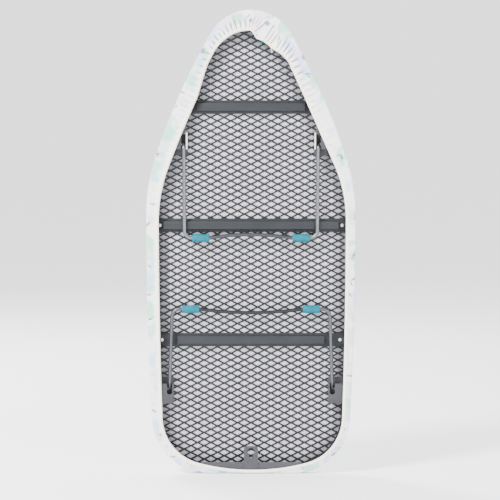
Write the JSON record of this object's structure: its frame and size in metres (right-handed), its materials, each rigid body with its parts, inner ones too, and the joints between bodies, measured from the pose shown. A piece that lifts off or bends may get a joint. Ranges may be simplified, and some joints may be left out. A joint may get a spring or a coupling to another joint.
{
  "type": "tabletop ironing board",
  "caption": "Tabletop ironing board with a steel mesh top, felt pad and draw-cord cover, folding wire legs on notched brackets and a hanging tab.",
  "frame": {"origin": "centre of the wide end's lower edge, on the surface that the folded board stands on", "axes": "+Z from the wide end to the nose, +Y out of the ironing face, the folded legs on the -Y side"},
  "size_m": [0.33, 0.0244, 0.73],
  "materials": {
    "rim_steel": "dark grey powder coat",
    "mesh_steel": "dark grey powder coat on expanded steel",
    "bar_steel": "dark grey powder coat, satin",
    "plate_steel": "mid grey powder coat, satin",
    "bracket_steel": "mid grey powder coat, satin",
    "rivet_steel": "bright zinc",
    "leg_wire": "silver grey coated drawn wire",
    "sleeve_vinyl": "turquoise soft vinyl",
    "pad_felt": "pale grey needled felt",
    "cover_cotton": "white woven cotton with a pale watercolour print",
    "hem_cotton": "off-white cotton binding, gathered",
    "cord_braid": "white braided cord",
    "lock_plastic": "teal moulded plastic"
  },
  "bodies": {
    "board": {"frame_rim": "rim_steel", "mesh_panel": "mesh_steel", "cross_bar_nose": "bar_steel", "cross_bar_middle": "bar_steel", "cross_bar_rear": "bar_steel", "cross_bar_rivets": "rivet_steel", "tail_plate": "plate_steel", "hang_tab": "plate_steel", "bracket_nose_left": "bracket_steel", "bracket_nose_right": "bracket_steel", "bracket_rear_left": "bracket_steel", "bracket_rear_right": "bracket_steel", "bracket_rivets": "rivet_steel", "felt_pad": "pad_felt", "cover_top": "cover_cotton", "cover_skirt": "cover_cotton", "hem_binding": "hem_cotton", "draw_cord": "cord_braid", "cord_lock_body": "lock_plastic", "cord_lock_spring": "rivet_steel"},
    "nose_leg": {"nose_leg_wire": "leg_wire", "foot_sleeve_nose_left": "sleeve_vinyl", "foot_sleeve_nose_right": "sleeve_vinyl"},
    "rear_leg": {"rear_leg_wire": "leg_wire", "foot_sleeve_rear_left": "sleeve_vinyl", "foot_sleeve_rear_right": "sleeve_vinyl"},
    "lock_button": {"cord_lock_plunger": "lock_plastic"}
  },
  "joints": [
    {"name": "nose_leg_fold", "type": "hinge", "parent": "board", "child": "nose_leg", "pos_m": [0, -0.00017, 0.52], "axis": [-1, 0, 0], "range_deg": [0, 119]},
    {"name": "rear_leg_fold", "type": "hinge", "parent": "board", "child": "rear_leg", "pos_m": [0, -0.00017, 0.134], "axis": [1, 0, 0], "range_deg": [0, 92]},
    {"name": "lock_button_press", "type": "slide", "parent": "board", "child": "lock_button", "axis": [0, 0, 1], "range_m": [0, 0.003], "stiffness_N_per_m": 150, "springref_m": -0.002, "deforming": ["cord_lock_spring"]}
  ]
}
